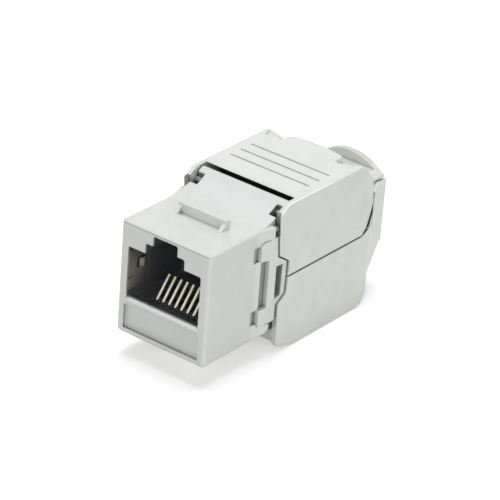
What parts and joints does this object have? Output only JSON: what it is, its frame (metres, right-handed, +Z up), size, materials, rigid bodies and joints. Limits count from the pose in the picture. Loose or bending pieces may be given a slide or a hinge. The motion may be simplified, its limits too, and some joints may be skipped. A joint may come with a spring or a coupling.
{
  "type": "keystone jack",
  "caption": "Shielded die-cast keystone jack with a modular socket in front, two hinged rear doors that press the cable's wires home, and a round cable collar.",
  "frame": {"origin": "middle of the front face's bottom edge, where the lower lip of a keystone opening meets the block", "axes": "+Y from the front face to the cable collar, +Z up towards the plug's latch slot, +X to the right seen from the front"},
  "size_m": [0.0162, 0.04, 0.0218],
  "materials": {
    "cast_shell": "satin nickel on die-cast zinc",
    "dark_plastic": "satin moulded",
    "black_plastic": "satin moulded",
    "board": "solder mask on laminate",
    "spring_sheet": "satin spring sheet",
    "pin_steel": "drawn wire",
    "gold_contact": "gold-plated spring wire",
    "tinned_contact": "tin-plated sheet"
  },
  "bodies": {
    "block": {"front_housing": "cast_shell", "port_insert": "dark_plastic", "contact_carrier": "dark_plastic", "ground_spring_left": "spring_sheet", "ground_spring_right": "spring_sheet", "circuit_board": "board", "idc_block": "black_plastic", "rear_frame": "cast_shell", "upper_hinge_pin": "pin_steel", "lower_hinge_pin": "pin_steel", "wire_contact_1": "tinned_contact", "wire_contact_2": "tinned_contact", "wire_contact_3": "tinned_contact", "wire_contact_4": "tinned_contact", "wire_contact_5": "tinned_contact", "wire_contact_6": "tinned_contact", "wire_contact_7": "tinned_contact", "wire_contact_8": "tinned_contact"},
    "upper_door": {"upper_door": "cast_shell", "upper_collar": "cast_shell", "upper_presser": "black_plastic"},
    "lower_door": {"lower_door": "cast_shell", "lower_presser": "black_plastic"},
    "panel_latch": {"panel_latch": "spring_sheet"},
    "contact_springs": {"contact_1": "gold_contact", "contact_2": "gold_contact", "contact_3": "gold_contact", "contact_4": "gold_contact", "contact_5": "gold_contact", "contact_6": "gold_contact", "contact_7": "gold_contact", "contact_8": "gold_contact"}
  },
  "joints": [
    {"name": "upper_door_hinge", "type": "hinge", "parent": "block", "child": "upper_door", "pos_m": [0, 0.0151, 0.0168], "axis": [1, 0, 0], "range_deg": [0, 90]},
    {"name": "lower_door_hinge", "type": "hinge", "parent": "block", "child": "lower_door", "pos_m": [0, 0.01575, -0.0009], "axis": [-1, 0, 0], "range_deg": [0, 90]},
    {"name": "panel_latch_flex", "type": "hinge", "parent": "block", "child": "panel_latch", "pos_m": [0, 0.0027, -0.0006], "axis": [1, 0, 0], "range_deg": [0, 12], "stiffness_Nm_per_rad": 0.1, "springref_deg": -2.86},
    {"name": "contact_flex", "type": "hinge", "parent": "block", "child": "contact_springs", "pos_m": [0, 0.00358, 0.0033], "axis": [-1, 0, 0], "range_deg": [0, 10], "stiffness_Nm_per_rad": 0.2, "springref_deg": -2.86}
  ]
}
